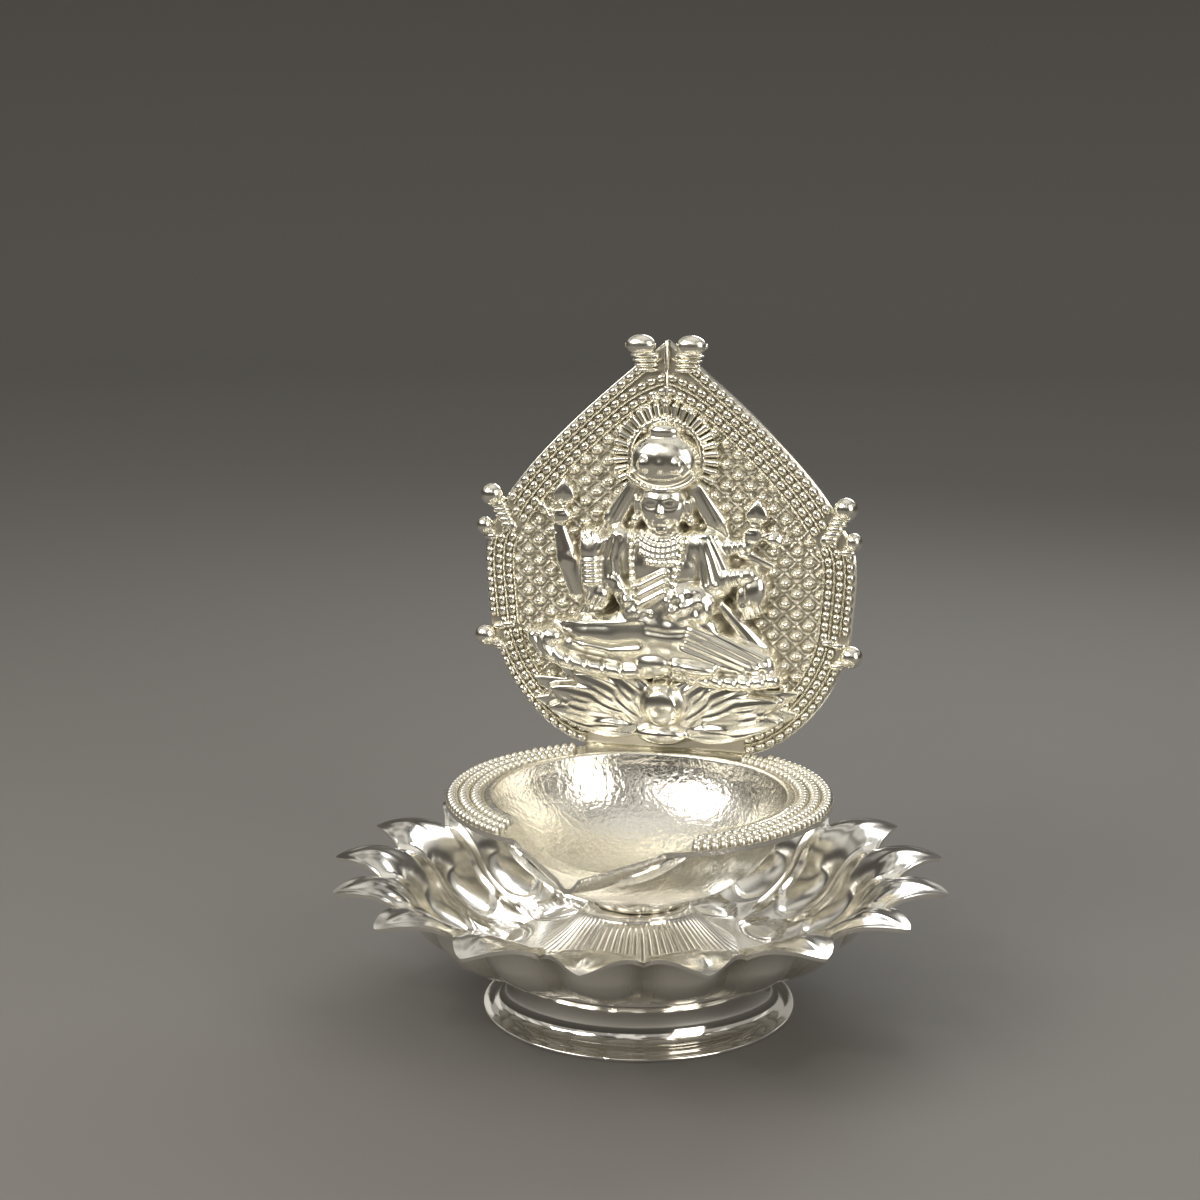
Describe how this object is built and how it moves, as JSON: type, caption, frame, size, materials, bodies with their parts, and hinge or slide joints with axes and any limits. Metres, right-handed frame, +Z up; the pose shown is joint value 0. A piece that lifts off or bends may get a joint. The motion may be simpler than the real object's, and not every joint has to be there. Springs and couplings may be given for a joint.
{
  "type": "goddess oil lamp",
  "caption": "Small devotional oil lamp: a lotus dish on a ring foot carries a round oil cup with a wick spout and an upright relief plaque of a seated goddess.",
  "frame": {"origin": "middle of the foot's underside, on the surface that the lamp stands on", "axes": "+Z up, -Y towards the wick spout, +Y towards the plaque, +X to the right as the plaque is seen"},
  "size_m": [0.0939, 0.0942, 0.101],
  "materials": {
    "bright_silver": "polished silver",
    "relief_silver": "bright struck silver with darker hollows",
    "grained_silver": "bright silver with a fine hammered grain inside the bowl",
    "hardware": "plain turned metal, slightly dull"
  },
  "bodies": {
    "base": {"foot_ring": "bright_silver", "lotus_dish": "bright_silver", "pedestal": "bright_silver"},
    "head": {"cup_collar": "bright_silver", "oil_cup": "grained_silver", "plaque_plate": "relief_silver", "plaque_bracket": "bright_silver", "halo": "relief_silver", "goddess_figure": "relief_silver", "lotus_throne": "relief_silver", "rim_beads_left_1": "relief_silver", "rim_beads_left_2": "relief_silver", "rim_beads_left_3": "relief_silver", "rim_beads_right_1": "relief_silver", "rim_beads_right_2": "relief_silver", "rim_beads_right_3": "relief_silver", "border_top_left_1": "relief_silver", "border_top_left_2": "relief_silver", "border_top_left_3": "relief_silver", "border_top_right_1": "relief_silver", "border_top_right_2": "relief_silver", "border_top_right_3": "relief_silver", "border_side_left_1": "relief_silver", "border_side_left_2": "relief_silver", "border_side_left_3": "relief_silver", "border_side_right_1": "relief_silver", "border_side_right_2": "relief_silver", "border_side_right_3": "relief_silver", "border_bottom_left_1": "relief_silver", "border_bottom_left_2": "relief_silver", "border_bottom_left_3": "relief_silver", "border_bottom_right_1": "relief_silver", "border_bottom_right_2": "relief_silver", "border_bottom_right_3": "relief_silver", "retaining_stud": "hardware"},
    "washer": {"washer": "hardware"},
    "nut": {"clamp_nut": "hardware"}
  },
  "joints": [
    {"name": "head_turn", "type": "hinge", "parent": "base", "child": "head", "pos_m": [0, 0, 0.0164], "axis": [0, 0, 1], "continuous": true},
    {"name": "washer_drop", "type": "slide", "parent": "head", "child": "washer", "axis": [0, 0, -1], "range_m": [0, 0.0021]},
    {"name": "nut_turn", "type": "hinge", "parent": "washer", "child": "nut", "pos_m": [0, 0, 0.0048], "axis": [0, 0, -1], "range_deg": [0, 1080]}
  ],
  "couplings": [
    {"joint": "nut_turn", "follows": "washer_drop", "rad_per_m": 8975.9}
  ]
}
